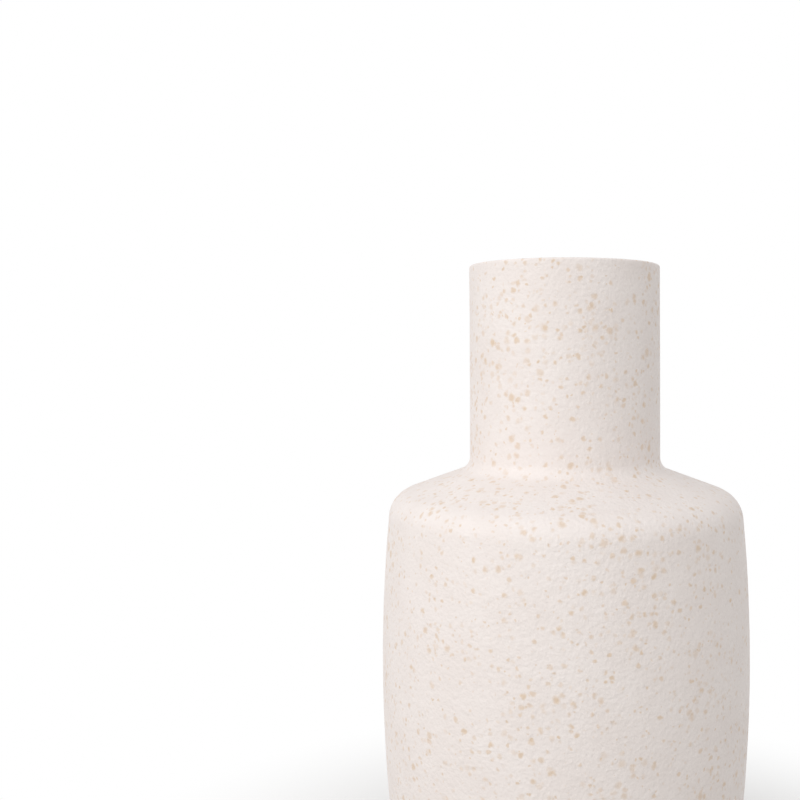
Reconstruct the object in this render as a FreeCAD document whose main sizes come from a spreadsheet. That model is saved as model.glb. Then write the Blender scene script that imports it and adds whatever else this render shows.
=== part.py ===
import FreeCAD, Part
import math
import os

import Sketcher

# Stoneware bottle vase, built the way a potter builds one: a foot base, a wall, a shoulder ring and a
# neck collar are made apart, joined with slip in stepped seams, and covered by a matt coat outside and
# a liner glaze inside. Millimetres and degrees, +Z up, origin at the middle of the foot's underside.

# Driving dimensions
DIMENSIONS = {
    "vase_height": 290.0,
    "belly_radius": 80.0,
    "belly_height": 121.0,
    "wall_curve": 675.0,
    "corner_round": 12.0,
    "shoulder_slope": 20.2,
    "neck_radius": 42.0,
    "neck_length": 84.0,
    "neck_fillet": 6.4,
    "lip_round": 1.0,
    "clay_wall": 4.6,
    "floor_thickness": 9.0,
    "foot_round": 7.0,
    "inner_foot_round": 9.0,
    "foot_recess_radius": 55.0,
    "foot_recess_depth": 2.5,
    "foot_recess_flare": 1.5,
    "glaze_thickness": 0.5,
    "bare_foot_height": 3.5,
    "mouth_lap": 20.0,
    "slip_thickness": 0.4,
    "seam_step": 4.0,
    "seam_step_share": 0.5,
    "base_seam_rise": 11.0,
    "wall_seam_drop": 16.0,
    "neck_seam_rise": 4.0,
    "cutter_overrun": 10.0,
}

doc = FreeCAD.newDocument("bottle_vase")
sheet = doc.addObject("Spreadsheet::Sheet", "Dims")


class Size:
    """A size worked out from the sheet: its value now, and the formula that keeps it up to date."""

    def __init__(self, value, text):
        self.value = float(value)
        self.text = text

    def __add__(self, other):
        other = as_size(other)
        return Size(self.value + other.value, f"({self.text} + {other.text})")

    def __sub__(self, other):
        other = as_size(other)
        return Size(self.value - other.value, f"({self.text} - {other.text})")

    def __mul__(self, other):
        other = as_size(other)
        return Size(self.value * other.value, f"({self.text} * {other.text})")


def as_size(number):
    return number if isinstance(number, Size) else Size(number, str(number))


def root(size):
    return Size(math.sqrt(size.value), f"sqrt({size.text})")


def tangent(angle):
    return Size(math.tan(math.radians(angle.value)), f"tan({angle.text} * 1 deg)")


def fill_sheet():
    """Writes the driving dimensions into the sheet and returns them by name."""
    named = {}
    for row, (alias, value) in enumerate(DIMENSIONS.items(), start=1):
        sheet.set(f"A{row}", alias)
        sheet.set(f"B{row}", str(value))
        sheet.setAlias(f"B{row}", alias)
        named[alias] = Size(value, f"Dims.{alias}")
    doc.recompute()
    return named


dims = fill_sheet()
ZERO = as_size(0)

# Sizes that follow from the driving dimensions
glaze = dims["glaze_thickness"]
clay_outer_inset = glaze
clay_inner_inset = glaze + dims["clay_wall"]
bore_inset = clay_inner_inset + glaze
neck_foot_height = dims["vase_height"] - dims["neck_length"]
beyond_radius = dims["belly_radius"] + dims["cutter_overrun"]
beyond_top = dims["vase_height"] + dims["cutter_overrun"]
beyond_bottom = ZERO - dims["cutter_overrun"]


def datum(sketch, kind, places, size):
    """Adds one sized constraint, and binds it to the sheet through the size's formula."""
    index = sketch.addConstraint(Sketcher.Constraint(kind, *places, size.value))
    if size is not ZERO:
        sketch.setExpression(f"Constraints[{index}]", size.text)


def pin_point(sketch, edge, end, radius, height):
    datum(sketch, "DistanceX", (-1, 1, edge, end), radius)
    datum(sketch, "DistanceY", (-1, 1, edge, end), height)


def upright_sketch(body):
    """A sketch on the body's own XZ plane: across is the radius, up is the height."""
    sketch = body.newObject("Sketcher::SketchObject", body.Name + "_profile")
    plane = [f for f in body.Origin.OriginFeatures if f.Role == "XZ_Plane"][0]
    sketch.AttachmentSupport = [(plane, "")]
    sketch.MapMode = "FlatFace"
    return sketch


def turn(body, sketch):
    """Turns the profile once round the vase's axis."""
    revolution = body.newObject("PartDesign::Revolution", body.Name + "_turned")
    revolution.Profile = sketch
    revolution.ReferenceAxis = (sketch, ["V_Axis"])
    revolution.Angle = 360.0
    sketch.Visibility = False
    return body


def turned_polygon(name, corners):
    """A solid of revolution whose half section is a polygon of (radius, height) corners."""
    body = doc.addObject("PartDesign::Body", name)
    sketch = upright_sketch(body)
    points = [FreeCAD.Vector(r.value, z.value, 0) for r, z in corners]
    count = len(points)
    for i in range(count):
        sketch.addGeometry(Part.LineSegment(points[i], points[(i + 1) % count]), False)
    for i in range(count):
        sketch.addConstraint(Sketcher.Constraint("Coincident", i, 2, (i + 1) % count, 1))
    for i, (radius, height) in enumerate(corners):
        pin_point(sketch, i, 1, radius, height)
    return turn(body, sketch)


def arc(centre, radius, start, end):
    circle = Part.Circle(centre, FreeCAD.Vector(0, 0, 1), radius)
    return Part.ArcOfCircle(circle, start, end)


def polar(centre, radius, angle):
    return centre + FreeCAD.Vector(radius * math.cos(angle), radius * math.sin(angle), 0)


def form_arcs(inset, foot_height, foot_radius):
    """Where the arcs of a form lie, as (centre, radius, start angle, end angle), by name."""
    slope = math.radians(dims["shoulder_slope"].value)
    up_slope = FreeCAD.Vector(math.sin(slope), math.cos(slope), 0)
    down_slope = FreeCAD.Vector(math.cos(slope), -math.sin(slope), 0)
    fillet_centre = FreeCAD.Vector(
        dims["neck_radius"].value + dims["neck_fillet"].value, neck_foot_height.value, 0
    )
    wall_centre = FreeCAD.Vector(
        dims["belly_radius"].value - dims["wall_curve"].value, dims["belly_height"].value, 0
    )
    # The corner's centre lies under the slope, and touches the wall's curve from inside
    start = fillet_centre - up_slope * (dims["neck_fillet"].value + dims["corner_round"].value)
    reach = dims["wall_curve"].value - dims["corner_round"].value
    to_start = start - wall_centre
    half = to_start.dot(down_slope)
    along = -half + math.sqrt(half * half - to_start.dot(to_start) + reach * reach)
    corner_centre = start + down_slope * along
    corner_angle = math.atan2(corner_centre.y - wall_centre.y, corner_centre.x - wall_centre.x)
    # The foot's centre stands at its own height, and touches the wall's curve from inside
    wall_radius = dims["wall_curve"].value - inset.value
    foot_rise = foot_height.value + foot_radius.value - wall_centre.y
    foot_reach = wall_radius - foot_radius.value
    foot_centre = FreeCAD.Vector(
        wall_centre.x + math.sqrt(foot_reach * foot_reach - foot_rise * foot_rise),
        foot_height.value + foot_radius.value,
        0,
    )
    foot_angle = math.atan2(foot_rise, foot_centre.x - wall_centre.x)
    quarter = math.pi / 2
    return {
        "foot": (foot_centre, foot_radius.value, -quarter, foot_angle),
        "wall": (wall_centre, wall_radius, foot_angle, corner_angle),
        "corner": (
            corner_centre,
            dims["corner_round"].value - inset.value,
            corner_angle,
            quarter - slope,
        ),
        "fillet": (
            fillet_centre,
            dims["neck_fillet"].value + inset.value,
            math.pi,
            3 * quarter - slope,
        ),
    }


def vase_form(name, inset, foot_height, foot_radius, hollow):
    """The vase's silhouette taken in by inset, as one turned solid. A hollow form opens at the mouth."""
    body = doc.addObject("PartDesign::Body", name)
    sketch = upright_sketch(body)
    arcs = form_arcs(inset, foot_height, foot_radius)
    lip = dims["lip_round"]
    lip_height = dims["vase_height"] - lip
    if hollow:
        lip_radius = lip - (bore_inset - inset)
        lip_centre = dims["neck_radius"] - bore_inset + lip
        lip_arc = (math.pi / 2, math.pi)
    else:
        lip_radius = lip - inset
        lip_centre = dims["neck_radius"] - lip
        lip_arc = (0, math.pi / 2)
    centre = FreeCAD.Vector(lip_centre.value, lip_height.value, 0)
    arcs["lip"] = (centre, lip_radius.value, *lip_arc)
    ends = {
        key: (polar(place, radius, start), polar(place, radius, end))
        for key, (place, radius, start, end) in arcs.items()
    }
    neck_top, rim_point = reversed(ends["lip"]) if hollow else ends["lip"]
    top = beyond_top if hollow else dims["vase_height"] - inset
    axis_foot = FreeCAD.Vector(0, foot_height.value, 0)
    axis_top = FreeCAD.Vector(0, top.value, 0)
    chain = [
        Part.LineSegment(axis_foot, ends["foot"][0]),
        arc(*arcs["foot"]),
        arc(*arcs["wall"]),
        arc(*arcs["corner"]),
        Part.LineSegment(ends["corner"][1], ends["fillet"][1]),
        arc(*arcs["fillet"]),
        Part.LineSegment(ends["fillet"][0], neck_top),
        arc(*arcs["lip"]),
    ]
    if hollow:
        above_rim = FreeCAD.Vector(rim_point.x, top.value, 0)
        chain.append(Part.LineSegment(rim_point, above_rim))
        rim_point = above_rim
    chain.append(Part.LineSegment(rim_point, axis_top))
    chain.append(Part.LineSegment(axis_top, axis_foot))
    foot, foot_arc, wall, corner, slope, fillet, neck, rim = range(8)
    last = len(chain) - 1
    for edge in chain:
        sketch.addGeometry(edge, False)

    def join(kind, first, first_end, second, second_end):
        places = (first, first_end, second, second_end)
        sketch.addConstraint(Sketcher.Constraint(kind, *places))

    join("Tangent", foot, 2, foot_arc, 1)
    join("Tangent", foot_arc, 2, wall, 1)
    join("Tangent", wall, 2, corner, 1)
    join("Tangent", corner, 2, slope, 1)
    join("Tangent", slope, 2, fillet, 2)
    join("Tangent", fillet, 1, neck, 1)
    if hollow:
        join("Tangent", neck, 2, rim, 2)
        join("Coincident", rim, 1, rim + 1, 1)
        join("Vertical", rim, 3, rim, 1)
    else:
        join("Tangent", neck, 2, rim, 1)
        join("Tangent", rim, 2, rim + 1, 1)
    for edge in range(rim + 1, last):
        join("Coincident", edge, 2, edge + 1, 1)
    join("Coincident", last, 2, foot, 1)
    for edge in [foot, last - 1]:
        sketch.addConstraint(Sketcher.Constraint("Horizontal", edge))
    for edge in [neck, last] + ([rim + 1] if hollow else []):
        sketch.addConstraint(Sketcher.Constraint("Vertical", edge))
    sketch.addConstraint(Sketcher.Constraint("PointOnObject", foot, 1, -2))
    datum(sketch, "DistanceY", (-1, 1, foot, 1), foot_height)
    datum(sketch, "Radius", (foot_arc,), foot_radius)
    datum(sketch, "Radius", (wall,), dims["wall_curve"] - inset)
    datum(sketch, "DistanceX", (wall, 3, -1, 1), dims["wall_curve"] - dims["belly_radius"])
    datum(sketch, "DistanceY", (-1, 1, wall, 3), dims["belly_height"])
    datum(sketch, "Radius", (corner,), dims["corner_round"] - inset)
    datum(sketch, "Radius", (fillet,), dims["neck_fillet"] + inset)
    pin_point(sketch, fillet, 3, dims["neck_radius"] + dims["neck_fillet"], neck_foot_height)
    slant = math.radians(180 - dims["shoulder_slope"].value)
    angle = sketch.addConstraint(Sketcher.Constraint("Angle", -1, 1, slope, 1, slant))
    sketch.setExpression(f"Constraints[{angle}]", "(180 - Dims.shoulder_slope) * 1 deg")
    datum(sketch, "Radius", (rim,), lip_radius)
    datum(sketch, "DistanceY", (-1, 1, rim, 3), lip_height)
    if hollow:
        datum(sketch, "DistanceY", (-1, 1, last, 1), top)
    return turn(body, sketch)


def two_shapes(kind, name, base, tool):
    result = doc.addObject(kind, name)
    result.Base = base
    result.Tool = tool
    return result


def cut(name, base, tool):
    return two_shapes("Part::Cut", name, base, tool)


def common(name, base, tool):
    return two_shapes("Part::Common", name, base, tool)


def flat_drum(name, bottom, top):
    """A plain cylinder, wider than the vase, between two heights."""
    drum = doc.addObject("Part::Cylinder", name)
    drum.setExpression("Radius", beyond_radius.text)
    drum.setExpression("Height", (top - bottom).text)
    drum.setExpression("Placement.Base.z", bottom.text)
    return drum


def vase_forms():
    """The clay's outside and its hollow, and the finished vase's outside and its bore."""
    floor = dims["floor_thickness"]
    inner_foot = dims["inner_foot_round"]
    outside = vase_form("clay_form", clay_outer_inset, ZERO, dims["foot_round"], False)
    hollow = vase_form("clay_hollow", clay_inner_inset, floor, inner_foot, True)
    glazed = vase_form("glazed_form", ZERO, ZERO - glaze, dims["foot_round"] + glaze, False)
    bore = vase_form("glazed_bore", bore_inset, floor + glaze, inner_foot - glaze, True)
    return outside, hollow, glazed, bore


def foot_recess():
    """The shallow recess that leaves the vase standing on a ring."""
    recess = doc.addObject("Part::Cone", "foot_recess")
    recess.setExpression("Radius1", dims["foot_recess_radius"].text)
    recess.setExpression("Radius2", (dims["foot_recess_radius"] - dims["foot_recess_flare"]).text)
    recess.setExpression("Height", dims["foot_recess_depth"].text)
    return recess


def seams():
    """Each seam's step, as (radius, height): the lower piece stands up inside, the upper laps over it."""
    step_inset = glaze + dims["clay_wall"] * dims["seam_step_share"]
    base_height = dims["floor_thickness"] + dims["base_seam_rise"]
    shoulder_fall = (dims["belly_radius"] - dims["neck_radius"]) * tangent(dims["shoulder_slope"])
    wall_height = neck_foot_height - shoulder_fall - dims["wall_seam_drop"]
    neck_height = neck_foot_height + dims["neck_seam_rise"]
    return (
        (wall_radius(base_height) - step_inset, base_height),
        (wall_radius(wall_height) - step_inset, wall_height),
        (dims["neck_radius"] - step_inset, neck_height),
    )


def wall_radius(height):
    """The vase's radius at a height on the wall's curve."""
    rise = height - dims["belly_height"]
    curve = dims["wall_curve"]
    return dims["belly_radius"] - curve + root(curve * curve - rise * rise)


def slip_underside(seam):
    """The corners of the lower face of a seam's slip, from the axis outwards."""
    radius, height = seam
    inside = height + dims["seam_step"]
    return [(ZERO, inside), (radius, inside), (radius, height), (beyond_radius, height)]


def slip_top(seam):
    """The corners of the upper face of a seam's slip, from the axis outwards."""
    slip = dims["slip_thickness"]
    radius, height = seam
    return slip_underside((radius + slip, height + slip))


def clay_pieces(walls):
    """The four clay pieces, and the slip that joins them."""
    vessel = cut("clay_vessel", walls, foot_recess())
    base_seam, wall_seam, neck_seam = seams()
    bottom = [(beyond_radius, beyond_bottom), (ZERO, beyond_bottom)]
    top = [(beyond_radius, beyond_top), (ZERO, beyond_top)]
    zones = {
        "foot_base": slip_underside(base_seam) + bottom,
        "body_wall": slip_underside(wall_seam) + slip_top(base_seam)[::-1],
        "shoulder_ring": slip_underside(neck_seam) + slip_top(wall_seam)[::-1],
        "neck_collar": slip_top(neck_seam) + top,
        "base_slip_seam": slip_top(base_seam) + slip_underside(base_seam)[::-1],
        "wall_slip_seam": slip_top(wall_seam) + slip_underside(wall_seam)[::-1],
        "neck_slip_seam": slip_top(neck_seam) + slip_underside(neck_seam)[::-1],
    }
    return {
        name: common(name, vessel, turned_polygon(name + "_zone", corners))
        for name, corners in zones.items()
    }


def glaze_coats(walls, hollow, glazed, bore):
    """The matt coat, which wraps over the lip, and the liner glaze from its edge down to the floor."""
    lap_height = dims["vase_height"] - dims["mouth_lap"]
    liner_drum = flat_drum("liner_drum", ZERO, lap_height)
    lined = common("lined_hollow", hollow, liner_drum)
    liner = cut("liner_glaze", lined, bore)
    bare_foot = flat_drum("bare_foot_drum", beyond_bottom, dims["bare_foot_height"])
    dipped = cut("dipped_form", glazed, bare_foot)
    bored = cut("bored_form", dipped, bore)
    full_coat = cut("full_coat", bored, walls)
    coat = cut("outer_glaze", full_coat, lined)
    return {"liner_glaze": liner, "outer_glaze": coat}


def check_and_export(pieces):
    os.makedirs("parts", exist_ok=True)
    for item in doc.Objects:
        if "Invalid" in item.State or "Error" in item.State:
            raise RuntimeError(f"{item.Name} is {item.State}")
    for name, piece in pieces.items():
        shape = piece.Shape
        if shape.isNull() or not shape.isValid() or not shape.Solids:
            raise RuntimeError(f"{name} has no valid solid")
        if len(shape.Solids) != 1:
            raise RuntimeError(f"{name} has {len(shape.Solids)} solids")
    for name, piece in pieces.items():
        piece.Label = name
        piece.Shape.exportStep(os.path.join("parts", f"{name}.step"))
        print(f"{name}: {piece.Shape.Volume / 1000:.2f} cm3")


clay_form, clay_hollow, glazed_form, glazed_bore = vase_forms()
clay_walls = cut("clay_walls", clay_form, clay_hollow)
vase = clay_pieces(clay_walls) | glaze_coats(clay_walls, clay_hollow, glazed_form, glazed_bore)
doc.recompute()
check_and_export(vase)
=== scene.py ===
"""The looks of a stoneware bottle vase: matt speckled coat, glossy liner, bare foot. Metres, +Z up."""

import math

import bpy
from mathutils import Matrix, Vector, noise


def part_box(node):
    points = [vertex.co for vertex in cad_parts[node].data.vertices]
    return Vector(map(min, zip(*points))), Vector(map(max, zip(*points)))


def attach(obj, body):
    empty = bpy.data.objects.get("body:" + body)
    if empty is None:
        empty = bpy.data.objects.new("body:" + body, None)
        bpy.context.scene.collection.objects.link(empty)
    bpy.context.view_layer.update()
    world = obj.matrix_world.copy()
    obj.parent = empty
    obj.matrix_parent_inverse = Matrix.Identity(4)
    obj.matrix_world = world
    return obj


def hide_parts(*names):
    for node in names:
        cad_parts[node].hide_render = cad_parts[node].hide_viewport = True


MM = 0.001

# The vase's form
BELLY_HEIGHT = 121 * MM
WALL_CURVE = 675 * MM
CORNER_ROUND = 12 * MM
SHOULDER_SLOPE = math.radians(20.2)
NECK_RADIUS = 42 * MM
NECK_LENGTH = 84 * MM
NECK_FILLET = 6.4 * MM
LIP_ROUND = 1 * MM
WALL = 5.6 * MM
GLAZE = 0.5 * MM
FOOT_ROUND = 7 * MM
FLOOR = 9 * MM
INNER_FOOT_ROUND = 9 * MM
BARE_FOOT = 3.5 * MM
MOUTH_LAP = 20 * MM

# The marks of the hand and the kiln
SKIN_DEPTH = 0.42 * MM
THROWN_WAVE = 0.09 * MM
RIDGE_HEIGHT = 0.016 * MM
RIDGE_PITCH = 7.5 * MM
NECK_FLARE = 0.1 * MM
NECK_LEAN = 0.25 * MM
QUICK_WAVE_SHARE = 0.25
WAVE_SQUEEZE = 1.8
FOOT_EDGE_WAVE = 0.3 * MM
LAP_EDGE_WAVE = 0.9 * MM
EDGE_REACH = 8 * MM
EDGE_BENDS = 2.2
EDGE_RIPPLES = 3.1
RIPPLE_SHARE = 0.35
FOOT_SEED = 3
LAP_SEED = 9

# The mesh
ROW_STEP = 1.5 * MM
ROUND_STEP = 0.5 * MM
COAT_SEGMENTS = 384
LINER_SEGMENTS = 192

# Fired colours, linear
COAT_LIGHT = (0.872, 0.812, 0.784)
COAT_DEEP = (0.838, 0.770, 0.738)
SPECK_TAN = (0.735, 0.586, 0.450)
SPECK_PINK = (0.770, 0.640, 0.540)
LINER_COLOUR = (0.800, 0.752, 0.700)
# The liner's darker tone, used towards the bottom of the inside
LINER_LOW_TONE = (0.690, 0.630, 0.560)
CLAY_BUFF = (0.560, 0.440, 0.320)
CLAY_PALE = (0.640, 0.525, 0.400)
CLAY_TOAST = (0.400, 0.240, 0.130)
SLIP_COLOUR = (0.600, 0.490, 0.370)

# How close the noise's marks are, per metre
SLOW_WAVES = 26
QUICK_WAVES = 62
RIDGE_FADES = 18
CLOUDS = 55
SPECK_PATCHES = 38
SPECK_EDGES = 430
GLAZE_GRAIN = 620
EGGSHELL = 640
PITS = 250
DRY_PATCHES = 240
ORANGE_PEEL = 300
CLAY_CLOUDS = 90
CLAY_GRAIN = 1600
TURNING_MARKS = 420
GRIT_EDGES = 900

# Where nearly all of a noise's values lie, and its middle colour
NOISE_SPAN = (0.3, 0.7)
NOISE_MIDDLE = (0.5, 0.5, 0.5)

# How deep the fine relief is
EGGSHELL_DEPTH = 0.4 * MM
PIT_DEPTH = 0.4 * MM
PEEL_DEPTH = 0.12 * MM
CLAY_GRAIN_DEPTH = 0.14 * MM
TURNING_DEPTH = 0.15 * MM

# The speckles. Each layer has its spacing, its smallest and largest radius, and its edge's softness
SPECK_LAYERS = (
    (7.2 * MM, (1.3 * MM, 2.1 * MM), 0.7),
    (3.7 * MM, (0.95 * MM, 1.6 * MM), 0.7),
    (3.2 * MM, (0.5 * MM, 1.05 * MM), 0.75),
)
LAYER_SHIFT = (0.37, 0, 1)
SPECK_WANDER = 2 * MM
FAINTEST_SPECK = 0.4
STRONG_FROM = 0.9
PATCH_CROWD = (0.72, 1.2)
NECK_CROWD = 1.1
NECK_BLEND = 30 * MM

# The grit in the bare clay
GRIT_SPACING = 2.6 * MM
GRIT_RADII = (0.1 * MM, 0.5 * MM)
GRIT_WANDER = 0.6 * MM

# The photograph's camera: level, a little below the lip, with the vase right of the frame's middle
FRAME_PIXELS = 800
FOCAL_PIXELS = 980
CAMERA_DISTANCE = 435.5 * MM
CAMERA_DROP = 39.5 * MM
CAMERA_TURN = math.radians(3)
AXIS_PIXEL = 564.6
HORIZON_PIXEL = 355.4
SENSOR = 36

# The studio
LAMP_AIM = 0.62
FLOOR_RADIUS = 4
FLOOR_SINK = 0.1 * MM
SHADOW_REACH = (100 * MM, 260 * MM)
FLOOR_SEEN = (0.95, 0.945, 0.94)
FLOOR_BOUNCE = (0.58, 0.565, 0.545)
AMBIENT = 0.665
KEY = {"name": "key", "azimuth": -46, "elevation": 25, "distance": 1.3, "size": 1.1, "watts": 7.9}
FILL = {"name": "fill", "azimuth": 30, "elevation": 36, "distance": 1.5, "size": 1.2, "watts": 2.9}


# Profiles: lists of (radius, height) points


def arc_points(centre, radius, start, end, step):
    """Points along an arc, from its start angle to its end angle."""
    count = max(2, math.ceil(abs(end - start) * radius / step))
    angles = [start + (end - start) * i / count for i in range(count + 1)]
    return [(centre[0] + radius * math.cos(a), centre[1] + radius * math.sin(a)) for a in angles]


def line_points(start, end, step):
    """Points between two ends, without the ends themselves."""
    count = max(1, math.ceil(math.dist(start, end) / step))
    return [
        tuple(p + (q - p) * i / count for p, q in zip(start, end)) for i in range(1, count)
    ]


class Form:
    """The vase's silhouette, worked out from its height and its widest radius."""

    def __init__(self, height, belly_radius):
        self.height = height
        self.neck_foot = height - NECK_LENGTH
        self.wall_centre = (belly_radius - WALL_CURVE, BELLY_HEIGHT)
        self.fillet_centre = (NECK_RADIUS + NECK_FILLET, self.neck_foot)
        self.corner_centre = self.find_corner()
        rise = self.corner_centre[1] - self.wall_centre[1]
        self.corner_angle = math.atan2(rise, self.corner_centre[0] - self.wall_centre[0])

    def find_corner(self):
        """The shoulder corner's centre: under the sloping shoulder, and touching the wall's curve."""
        up = Vector((math.sin(SHOULDER_SLOPE), math.cos(SHOULDER_SLOPE)))
        down = Vector((math.cos(SHOULDER_SLOPE), -math.sin(SHOULDER_SLOPE)))
        start = Vector(self.fillet_centre) - up * (NECK_FILLET + CORNER_ROUND)
        away = start - Vector(self.wall_centre)
        reach = WALL_CURVE - CORNER_ROUND
        half = away.dot(down)
        return tuple(start + down * (math.sqrt(half * half - away.dot(away) + reach * reach) - half))

    def foot(self, inset, height, radius):
        """The foot arc's centre, and the angle at which the arc meets the wall's curve."""
        rise = height - self.wall_centre[1]
        run = math.sqrt((WALL_CURVE - inset - radius) ** 2 - rise**2)
        return (self.wall_centre[0] + run, height), math.atan2(rise, run)

    def side(self, inset, foot_height, foot_radius, foot_start):
        """From the foot arc up to the neck's foot, taken in by inset."""
        foot_centre, foot_angle = self.foot(inset, foot_height, foot_radius)
        slant = math.pi / 2 - SHOULDER_SLOPE
        foot = arc_points(foot_centre, foot_radius, foot_start, foot_angle, ROUND_STEP)
        wall = arc_points(
            self.wall_centre, WALL_CURVE - inset, foot_angle, self.corner_angle, ROW_STEP
        )
        corner = arc_points(
            self.corner_centre, CORNER_ROUND - inset, self.corner_angle, slant, ROUND_STEP
        )
        fillet = arc_points(
            self.fillet_centre, NECK_FILLET + inset, slant + math.pi, math.pi, ROUND_STEP
        )
        slope = line_points(corner[-1], fillet[0], ROW_STEP)
        return foot + wall[1:] + corner[1:] + slope + fillet

    def coat(self):
        """The matt coat's face: up the outside, over the lip and down into the mouth."""
        foot_start = math.asin((BARE_FOOT - FOOT_ROUND) / (FOOT_ROUND + GLAZE))
        side = self.side(0, FOOT_ROUND, FOOT_ROUND + GLAZE, foot_start)
        lip_height = self.height - LIP_ROUND
        outer = (NECK_RADIUS - LIP_ROUND, lip_height)
        inner = (NECK_RADIUS - WALL + LIP_ROUND, lip_height)
        quarter = math.pi / 2
        outer_lip = arc_points(outer, LIP_ROUND, 0, quarter, ROUND_STEP / 2)
        inner_lip = arc_points(inner, LIP_ROUND, quarter, math.pi, ROUND_STEP / 2)
        lap_end = (NECK_RADIUS - WALL, self.height - MOUTH_LAP)
        neck = line_points(side[-1], outer_lip[0], ROW_STEP)
        rim = line_points(outer_lip[-1], inner_lip[0], ROUND_STEP)
        mouth = line_points(inner_lip[-1], lap_end, ROW_STEP)
        return side + neck + outer_lip + rim + inner_lip + mouth + [lap_end]

    def liner(self):
        """The liner's face: down the bore from the coat's edge, and over the floor to the axis."""
        side = self.side(
            WALL, FLOOR + INNER_FOOT_ROUND, INNER_FOOT_ROUND - GLAZE, -math.pi / 2
        )
        top = (NECK_RADIUS - WALL, self.height - MOUTH_LAP)
        bore = line_points(top, side[-1], ROW_STEP)
        floor = line_points(side[0], (0, side[0][1]), ROW_STEP)
        return [top] + bore + side[::-1] + floor + [(0, side[0][1])]


def directions(points):
    """The unit normal at each point, to the right of the way the points run."""
    found = []
    for i in range(len(points)):
        before = Vector(points[max(i - 1, 0)])
        after = Vector(points[min(i + 1, len(points) - 1)])
        along = (after - before).normalized()
        found.append(Vector((along.y, -along.x)))
    return found


# Meshes


def edge_wave(angle, seed):
    """A slow wander round the vase, from -1 to 1, for the line where a glaze ends."""
    place = Vector((EDGE_BENDS * math.cos(angle), EDGE_BENDS * math.sin(angle), seed))
    return noise.noise(place) + RIPPLE_SHARE * noise.noise(place * EDGE_RIPPLES)


def edge_shift(form, angle, height):
    """How far a glaze's edge wanders up or down, which dies away from the edge."""
    near_foot = max(0, 1 - abs(height - BARE_FOOT) / EDGE_REACH)
    near_lap = max(0, 1 - abs(height - form.height + MOUTH_LAP) / EDGE_REACH)
    foot = FOOT_EDGE_WAVE * near_foot * edge_wave(angle, FOOT_SEED)
    return foot, LAP_EDGE_WAVE * near_lap * edge_wave(angle, LAP_SEED)


def neck_set(form, height):
    """How far the neck has opened out and leant by a height: nothing at its foot, most at the lip."""
    share = max(0, (height - form.neck_foot) / NECK_LENGTH) ** 2
    return NECK_FLARE * share, NECK_LEAN * share


def thrown_depth(angle, radius, height):
    """How deep the thrown face lies under the true form: slow waves, and the throwing spiral."""
    turn = Vector((radius * math.cos(angle), radius * math.sin(angle), height * WAVE_SQUEEZE))
    slow = (1 + noise.noise(turn * SLOW_WAVES)) / 2
    quick = QUICK_WAVE_SHARE * noise.noise(turn * QUICK_WAVES)
    spiral = math.sin(math.tau * height / RIDGE_PITCH + angle)
    fade = (1 + noise.noise(turn * RIDGE_FADES)) / 2
    return THROWN_WAVE * max(0, slow + quick) + RIDGE_HEIGHT * fade * (1 + spiral)


def skin_rows(form, face, segments):
    """Rings of points for a closed skin: the thrown face, and back along its underside."""
    rows = []
    from_foot = face[0][1] < FLOOR
    sides = list(zip(face, directions(face)))
    for (radius, height), out in sides:
        ring = []
        for i in range(segments if radius > 0 else 1):
            angle = math.tau * i / segments
            depth = thrown_depth(angle, radius, height)
            ring.append((radius - out.x * depth, height - out.y * depth, angle))
        rows.append(ring)
    for (radius, height), out in reversed(sides):
        under = max(0, radius - out.x * SKIN_DEPTH) if radius > 0 else 0
        angles = [math.tau * i / segments for i in range(segments if under > 0 else 1)]
        rows.append([(under, height - out.y * SKIN_DEPTH, angle) for angle in angles])
    return [
        [place(form, from_foot, radius, height, angle) for radius, height, angle in ring]
        for ring in rows
    ]


def place(form, from_foot, radius, height, angle):
    """A point in space. Only a skin that starts at the foot follows the foot's edge line."""
    foot, lap = edge_shift(form, angle, height)
    inside = radius < NECK_RADIUS - WALL / 2
    rise = lap if inside else foot * from_foot
    flare, lean = neck_set(form, height)
    reach = radius + flare
    return (reach * math.cos(angle) - lean, reach * math.sin(angle), height + rise)


def skin(name, rows):
    """Joins rings of points into one closed mesh. A ring of one point is a pole on the axis."""
    points = []
    starts = []
    for ring in rows:
        starts.append(len(points))
        points.extend(ring)
    faces = []
    for k, ring in enumerate(rows):
        following = rows[(k + 1) % len(rows)]
        low, high = starts[k], starts[(k + 1) % len(rows)]
        for i in range(max(len(ring), len(following))):
            j = i + 1
            corners = [
                low + i % len(ring),
                low + j % len(ring),
                high + j % len(following),
                high + i % len(following),
            ]
            distinct = list(dict.fromkeys(corners))
            if len(distinct) > 2:
                faces.append(distinct)
    mesh = bpy.data.meshes.new(name)
    mesh.from_pydata(points, [], faces)
    mesh.shade_smooth()
    piece = bpy.data.objects.new(name, mesh)
    bpy.context.scene.collection.objects.link(piece)
    return piece


# Materials


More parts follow.
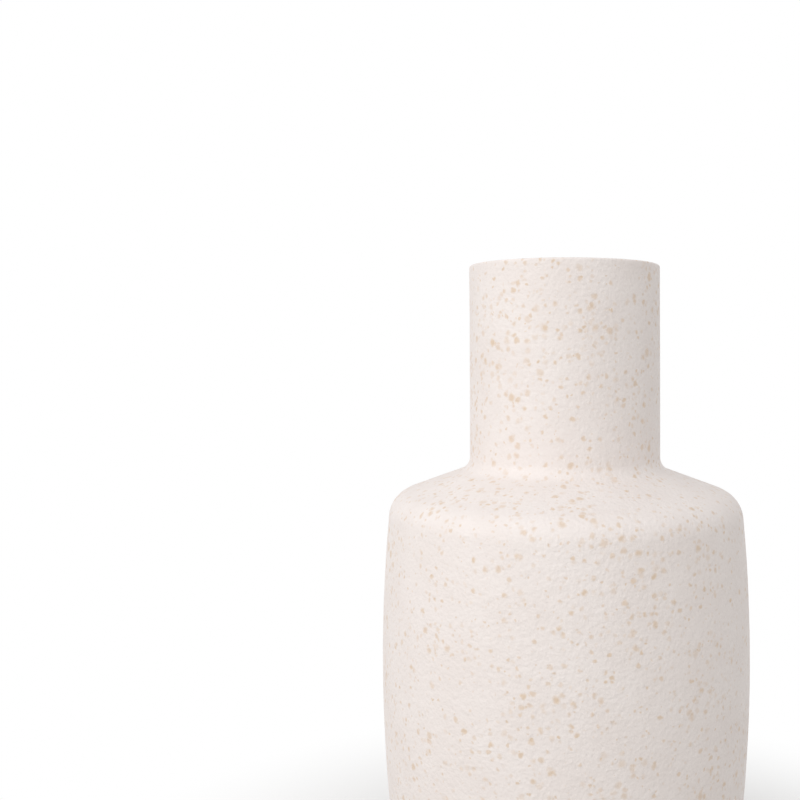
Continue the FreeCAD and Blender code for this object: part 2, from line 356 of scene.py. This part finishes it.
class Shader:
    """A material's nodes, added one call at a time."""

    def __init__(self, name):
        self.material = bpy.data.materials.new(name)
        self.material.use_nodes = True
        self.nodes = self.material.node_tree.nodes
        self.links = self.material.node_tree.links
        self.surface = self.nodes["Principled BSDF"]
        self.position = self.add("ShaderNodeNewGeometry").outputs["Position"]

    def add(self, kind, values=(), **settings):
        """Adds a node. values maps an input to a number, a colour or another node's output."""
        node = self.nodes.new(kind)
        for key, setting in settings.items():
            setattr(node, key, setting)
        for key, value in dict(values).items():
            self.feed(node.inputs[key], value)
        return node

    def feed(self, socket, value):
        """Links an output to a socket, or sets the socket's own value."""
        if isinstance(value, bpy.types.NodeSocket):
            self.links.new(value, socket)
        elif isinstance(value, tuple) and len(value) == 3 and socket.type == "RGBA":
            socket.default_value = (*value, 1)
        else:
            socket.default_value = value

    def maths(self, operation, *values):
        return self.add("ShaderNodeMath", enumerate(values), operation=operation).outputs[0]

    def noise(self, scale, detail=3, place=None):
        values = {"Vector": place or self.position, "Scale": scale, "Detail": detail}
        return self.add("ShaderNodeTexNoise", values).outputs["Fac"]

    def ramp(self, value, low, high, out_low=0, out_high=1):
        """Carries value from low..high to out_low..out_high, with soft ends."""
        values = {0: value, 1: low, 2: high, 3: out_low, 4: out_high}
        node = self.add("ShaderNodeMapRange", values, interpolation_type="SMOOTHSTEP")
        return node.outputs[0]

    def mix(self, share, first, second):
        """Mixes two colours by a share."""
        values = {0: share, 6: first, 7: second}
        return self.add("ShaderNodeMix", values, data_type="RGBA").outputs[2]

    def height(self):
        return self.add("ShaderNodeSeparateXYZ", {0: self.position}).outputs["Z"]

    def wander(self, scale, amount):
        """The position, pushed about by noise, so that round spots come out uneven."""
        values = {"Vector": self.position, "Scale": scale, "Detail": 1}
        colour = self.add("ShaderNodeTexNoise", values).outputs["Color"]
        centred = self.add(
            "ShaderNodeVectorMath", {0: colour, 1: NOISE_MIDDLE}, operation="SUBTRACT"
        )
        pushed = self.add(
            "ShaderNodeVectorMath", {0: centred.outputs[0], 3: amount}, operation="SCALE"
        )
        moved = self.add("ShaderNodeVectorMath", {0: self.position, 1: pushed.outputs[0]})
        return moved.outputs[0]

    def spots(self, place, spacing, radii, soften, crowd):
        """Soft uneven spots of random size and strength. Returns their cover and their tint."""
        values = {"Vector": place, "Scale": 1 / spacing}
        cells = self.add("ShaderNodeTexVoronoi", values)
        chance = self.add("ShaderNodeSeparateColor", {0: cells.outputs["Color"]})
        size = self.ramp(chance.outputs[0], 0, 1, radii[0] / spacing, radii[1] / spacing)
        size = self.maths("MULTIPLY", size, crowd)
        inside = self.maths("DIVIDE", cells.outputs["Distance"], size)
        cover = self.ramp(inside, 1, 1 - soften)
        strength = self.ramp(chance.outputs[1], 0, STRONG_FROM, FAINTEST_SPECK, 1)
        return self.maths("MULTIPLY", cover, strength), chance.outputs[2]

    def bump(self, height, distance, strength=1, normal=None):
        values = {"Height": height, "Distance": distance, "Strength": strength}
        if normal:
            values["Normal"] = normal
        return self.add("ShaderNodeBump", values).outputs["Normal"]

    def set(self, **values):
        """Feeds the surface's inputs, named with underscores for spaces."""
        for key, value in values.items():
            self.feed(self.surface.inputs[key.replace("_", " ")], value)


def speckle(shader, neck_foot):
    """The speckles' cover, and the tint of the finest ones, which serves them all.

    They crowd in patches, and a little more on the neck.
    """
    patches = shader.ramp(shader.noise(SPECK_PATCHES, 2), *NOISE_SPAN, *PATCH_CROWD)
    neck = shader.ramp(
        shader.height(), neck_foot - NECK_BLEND, neck_foot + NECK_BLEND, 1, NECK_CROWD
    )
    crowd = shader.maths("MULTIPLY", patches, neck)
    place = shader.wander(SPECK_EDGES, SPECK_WANDER)
    cover = 0
    for layer, (spacing, radii, soften) in enumerate(SPECK_LAYERS):
        shift = tuple(layer * part for part in LAYER_SHIFT)
        offset = shader.add("ShaderNodeVectorMath", {0: place, 1: shift})
        more, tint = shader.spots(offset.outputs[0], spacing, radii, soften, crowd)
        cover = shader.maths("MAXIMUM", cover, more)
    return cover, tint


def matt_coat(form):
    """A dry warm off-white glaze with tan iron speckles, faint clouds and an eggshell face."""
    shader = Shader("matt_coat")
    clouds = shader.ramp(shader.noise(CLOUDS, 4), *NOISE_SPAN)
    base = shader.mix(clouds, COAT_LIGHT, COAT_DEEP)
    grain = shader.ramp(shader.noise(GLAZE_GRAIN, 4), *NOISE_SPAN, 0, 0.6)
    base = shader.mix(grain, base, COAT_DEEP)
    cover, tint = speckle(shader, form.neck_foot)
    tan = shader.mix(tint, SPECK_TAN, SPECK_PINK)
    colour = shader.mix(cover, base, tan)
    eggshell = shader.bump(shader.noise(EGGSHELL, 4), EGGSHELL_DEPTH, 1)
    pitted = shader.bump(shader.noise(PITS, 2), PIT_DEPTH, 0.6, eggshell)
    roughness = shader.ramp(shader.noise(DRY_PATCHES, 3), *NOISE_SPAN, 0.5, 0.62)
    shader.set(Base_Color=colour, Roughness=roughness, Normal=pitted)
    shader.set(IOR=1.48, Specular_IOR_Level=0.5)
    return shader.material


def liner_gloss(form):
    """A soft gloss liner that is a little darker towards the bottom of the inside."""
    shader = Shader("liner_gloss")
    # Darker on the inside floor and the lowest part of the wall, fading out upwards
    low_share = shader.ramp(shader.height(), FLOOR, FLOOR + 4 * INNER_FOOT_ROUND, 0.8, 0)
    base = shader.mix(low_share, LINER_COLOUR, LINER_LOW_TONE)
    cover, _ = speckle(shader, form.neck_foot)
    faint = shader.maths("MULTIPLY", cover, 0.6)
    colour = shader.mix(faint, base, SPECK_TAN)
    orange_peel = shader.bump(shader.noise(ORANGE_PEEL, 2), PEEL_DEPTH, 0.5)
    shader.set(Base_Color=colour, Roughness=0.2, Normal=orange_peel)
    shader.set(IOR=1.52, Coat_Weight=0.4, Coat_Roughness=0.08)
    return shader.material


def bare_clay(name, pale, deep):
    """Unglazed fired clay, gritty, with dark grog and a toasted line next to the glaze."""
    shader = Shader(name)
    base = shader.mix(shader.ramp(shader.noise(CLAY_CLOUDS, 5), *NOISE_SPAN), pale, deep)
    place = shader.wander(GRIT_EDGES, GRIT_WANDER)
    grit, _ = shader.spots(place, GRIT_SPACING, GRIT_RADII, 0.5, 1)
    base = shader.mix(shader.maths("MULTIPLY", grit, 0.7), base, CLAY_TOAST)
    toast = shader.ramp(shader.height(), BARE_FOOT / 3, BARE_FOOT, 0, 0.65)
    colour = shader.mix(toast, base, CLAY_TOAST)
    gritty = shader.bump(shader.noise(CLAY_GRAIN, 5), CLAY_GRAIN_DEPTH, 0.9)
    turned = shader.bump(shader.noise(TURNING_MARKS, 2), TURNING_DEPTH, 0.5, gritty)
    shader.set(Base_Color=colour, Roughness=0.88, Normal=turned)
    shader.set(Specular_IOR_Level=0.25)
    return shader.material


# The studio


def is_seen(nodes, links):
    """1 for what the camera sees, straight on or in a gloss, and 0 for what only gives light."""
    path = nodes.new("ShaderNodeLightPath")
    seen = path.outputs["Is Camera Ray"]
    for ray in ("Is Glossy Ray", "Is Transmission Ray"):
        either = nodes.new("ShaderNodeMath")
        either.operation = "MAXIMUM"
        links.new(seen, either.inputs[0])
        links.new(path.outputs[ray], either.inputs[1])
        seen = either.outputs[0]
    return seen


def make_world():
    """White behind the vase, and an even soft light round it."""
    world = bpy.data.worlds.new("studio")
    bpy.context.scene.world = world
    world.use_nodes = True
    nodes, links = world.node_tree.nodes, world.node_tree.links
    background = nodes["Background"]
    background.inputs["Color"].default_value = (1, 1, 1, 1)
    level = nodes.new("ShaderNodeMapRange")
    level.inputs["To Min"].default_value = AMBIENT
    level.inputs["To Max"].default_value = 1
    links.new(is_seen(nodes, links), level.inputs["Value"])
    links.new(level.outputs[0], background.inputs["Strength"])


def make_floor():
    """A pale floor that keeps the vase's shadow, and is plain white further out."""
    shader = Shader("floor")
    across = shader.add("ShaderNodeVectorMath", {0: shader.position}, operation="LENGTH")
    far = shader.ramp(across.outputs["Value"], *SHADOW_REACH)
    white = shader.add("ShaderNodeEmission", {"Color": (1, 1, 1), "Strength": 1})
    seen = is_seen(shader.nodes, shader.links)
    share = shader.maths("MULTIPLY", far, seen)
    mixed = shader.add(
        "ShaderNodeMixShader",
        {0: share, 1: shader.surface.outputs[0], 2: white.outputs[0]},
    )
    shader.set(Base_Color=shader.mix(seen, FLOOR_BOUNCE, FLOOR_SEEN), Roughness=0.9)
    shader.set(Specular_IOR_Level=0)
    shader.links.new(mixed.outputs[0], shader.nodes["Material Output"].inputs["Surface"])
    bpy.ops.mesh.primitive_circle_add(
        vertices=96, radius=FLOOR_RADIUS, fill_type="NGON", location=(0, 0, -FLOOR_SINK)
    )
    floor = bpy.context.object
    floor.name = "floor"
    floor.data.materials.append(shader.material)


def make_lamp(aim, name, azimuth, elevation, distance, size, watts):
    """A square soft lamp that looks at a point on the vase's axis."""
    lamp = bpy.data.lights.new(name, "AREA")
    lamp.size = size
    lamp.energy = watts
    holder = bpy.data.objects.new(name, lamp)
    bpy.context.scene.collection.objects.link(holder)
    turn, lift = math.radians(azimuth), math.radians(elevation)
    away = Vector(
        (math.sin(turn) * math.cos(lift), -math.cos(turn) * math.cos(lift), math.sin(lift))
    )
    holder.location = aim + away * distance
    holder.rotation_euler = (-away).to_track_quat("-Z", "Y").to_euler()
    holder.visible_camera = False


def make_camera(top):
    """Stands where the photographer stood. The shift places the vase right of the middle."""
    lens = bpy.data.cameras.new("camera")
    lens.sensor_width = SENSOR
    lens.lens = SENSOR * FOCAL_PIXELS / FRAME_PIXELS
    middle = FRAME_PIXELS / 2
    turned = FOCAL_PIXELS * math.tan(CAMERA_TURN)
    lens.shift_x = (middle + turned - AXIS_PIXEL) / FRAME_PIXELS
    lens.shift_y = (HORIZON_PIXEL - middle) / FRAME_PIXELS
    lens.clip_start = 10 * MM
    camera = bpy.data.objects.new("camera", lens)
    camera.location = (0, -CAMERA_DISTANCE, top - CAMERA_DROP)
    camera.rotation_euler = (math.pi / 2, 0, CAMERA_TURN)
    bpy.context.scene.collection.objects.link(camera)
    bpy.context.scene.camera = camera


# The vase


def dress(piece, material):
    """Gives a piece one material in place of any it has."""
    piece.data.materials.clear()
    piece.data.materials.append(material)


def make_skin(form, name, face, segments, node, material):
    """A glaze's real surface in place of its plain solid."""
    piece = skin(name, skin_rows(form, face, segments))
    dress(piece, material)
    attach(piece, "root")
    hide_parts(node)


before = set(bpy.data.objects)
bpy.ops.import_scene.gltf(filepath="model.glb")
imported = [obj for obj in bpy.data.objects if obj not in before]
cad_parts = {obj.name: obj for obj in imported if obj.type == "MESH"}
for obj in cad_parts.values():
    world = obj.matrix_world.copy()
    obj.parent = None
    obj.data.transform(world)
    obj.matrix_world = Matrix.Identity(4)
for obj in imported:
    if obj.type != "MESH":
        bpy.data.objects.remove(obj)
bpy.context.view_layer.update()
low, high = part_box("outer_glaze")
vase = Form(high.z, high.x)

make_camera(vase.height)
make_world()
make_floor()
aim = Vector((0, 0, vase.height * LAMP_AIM))
for lamp_facts in (KEY, FILL):
    make_lamp(aim, **lamp_facts)

matt, gloss = matt_coat(vase), liner_gloss(vase)
make_skin(vase, "matt_coat", vase.coat(), COAT_SEGMENTS, "outer_glaze", matt)
make_skin(vase, "gloss_liner", vase.liner(), LINER_SEGMENTS, "liner_glaze", gloss)
clay = bare_clay("bare_clay", CLAY_PALE, CLAY_BUFF)
slip = bare_clay("joining_slip", CLAY_PALE, SLIP_COLOUR)
for node in ("foot_base", "body_wall", "shoulder_ring", "neck_collar"):
    dress(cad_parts[node], clay)
for node in ("base_slip_seam", "wall_slip_seam", "neck_slip_seam"):
    dress(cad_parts[node], slip)

bpy.context.scene.view_settings.view_transform = "Standard"
